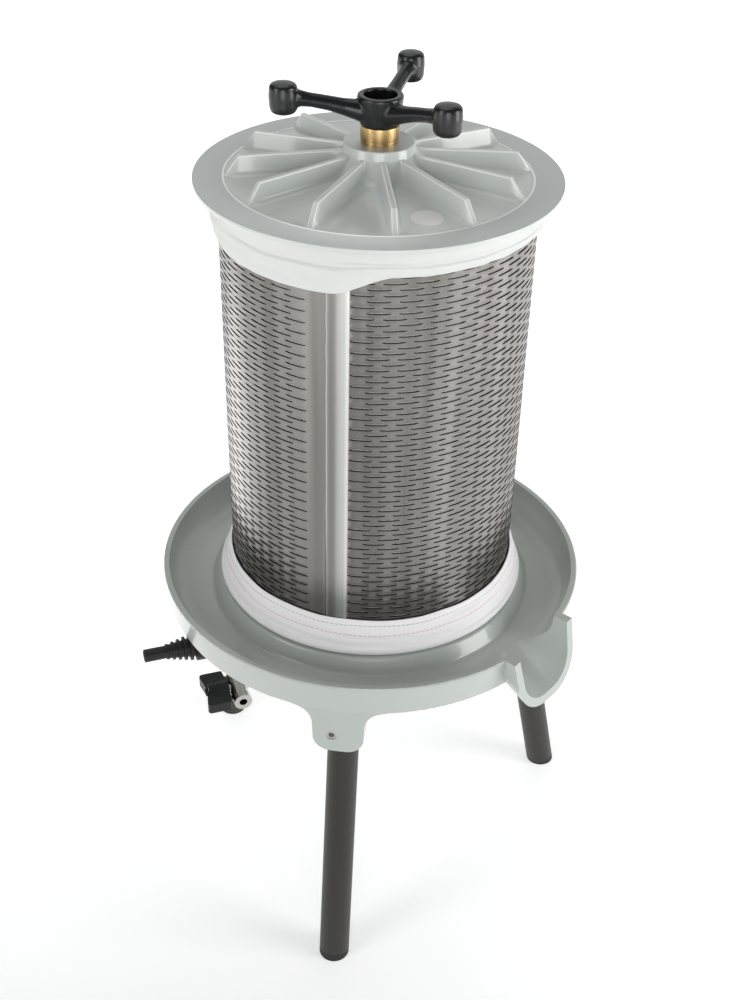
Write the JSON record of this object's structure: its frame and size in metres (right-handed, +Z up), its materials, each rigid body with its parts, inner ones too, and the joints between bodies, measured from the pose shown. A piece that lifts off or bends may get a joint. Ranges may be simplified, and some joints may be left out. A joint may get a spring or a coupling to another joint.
{
  "type": "pneumatic fruit press",
  "caption": "Free-standing fruit press: slotted basket with a cloth bag round an air-swollen membrane, ribbed lid under a screwed hand nut, spouted tray on tubular legs.",
  "frame": {"origin": "on the floor, on the axis of the centre column", "axes": "+Z up along the column; the spout points along -Y; +X to the right seen from the spout side"},
  "size_m": [0.4888, 0.535, 0.9669],
  "materials": {
    "tray_enamel": "satin, pale grey-green enamel on cast aluminium",
    "lid_enamel": "satin, pale grey-green enamel with a machined rim and hub face",
    "leg_paint": "satin dark grey",
    "foot_plastic": "matt black",
    "dark_steel": "black oxide",
    "plain_steel": "zinc plated",
    "basket_steel": "rolled stainless sheet",
    "inner_plastic": "moulded, pale",
    "membrane_rubber": "smooth black rubber",
    "guard_rubber": "moulded black rubber",
    "plated_brass": "satin nickel plate",
    "ball_chrome": "polished",
    "brass": "turned",
    "bag_cloth": "plain woven white cloth",
    "grip_plastic": "glossy black",
    "handle_plastic": "satin black"
  },
  "bodies": {
    "stand": {"juice_tray": "tray_enamel", "leg_left": "leg_paint", "leg_right": "leg_paint", "leg_rear": "leg_paint", "foot_left": "foot_plastic", "foot_right": "foot_plastic", "foot_rear": "foot_plastic", "leg_screws": "dark_steel", "centre_column": "plain_steel", "column_washer": "plain_steel", "column_nut": "plain_steel", "plug_nut": "plain_steel", "plug_lower": "inner_plastic", "plug_upper": "inner_plastic", "membrane": "membrane_rubber", "band_lower": "basket_steel", "band_upper": "basket_steel", "air_block": "plated_brass", "relief_valve": "brass", "inlet_pipe": "plain_steel", "air_tee": "plated_brass", "valve_pipe": "plain_steel", "hose_tail": "plated_brass", "kink_guard": "guard_rubber", "valve_body": "plated_brass", "valve_end": "plated_brass"},
    "basket": {"basket_shell": "basket_steel", "rim_ring_lower": "basket_steel", "rim_ring_upper": "basket_steel", "press_bag": "bag_cloth"},
    "lid_body": {"lid": "lid_enamel"},
    "washer": {"thrust_washer": "brass"},
    "nut": {"hand_nut": "grip_plastic", "brass_bush": "brass", "grub_screw": "dark_steel"},
    "valve_grip": {"valve_handle": "handle_plastic", "valve_stem": "brass", "valve_ball": "ball_chrome", "handle_nut": "plain_steel"}
  },
  "joints": [
    {"name": "basket_lift", "type": "slide", "parent": "stand", "child": "basket", "axis": [0, 0, 1], "range_m": [0, 0.56]},
    {"name": "lid_lift", "type": "slide", "parent": "basket", "child": "lid_body", "axis": [0, 0, 1], "range_m": [0, 0.1]},
    {"name": "nut_rise", "type": "slide", "parent": "lid_body", "child": "washer", "axis": [0, 0, 1], "range_m": [0, 0.024]},
    {"name": "nut_turn", "type": "hinge", "parent": "washer", "child": "nut", "pos_m": [0, 0, 0.93], "axis": [0, 0, 1], "range_deg": [0, 2880]},
    {"name": "valve_turn", "type": "hinge", "parent": "stand", "child": "valve_grip", "pos_m": [-0.20098, 0.02277, 0.315], "axis": [-0.8572, 0.515, 0], "range_deg": [0, 90]}
  ],
  "couplings": [
    {"joint": "nut_rise", "follows": "nut_turn", "m_per_rad": 0.00047746}
  ]
}
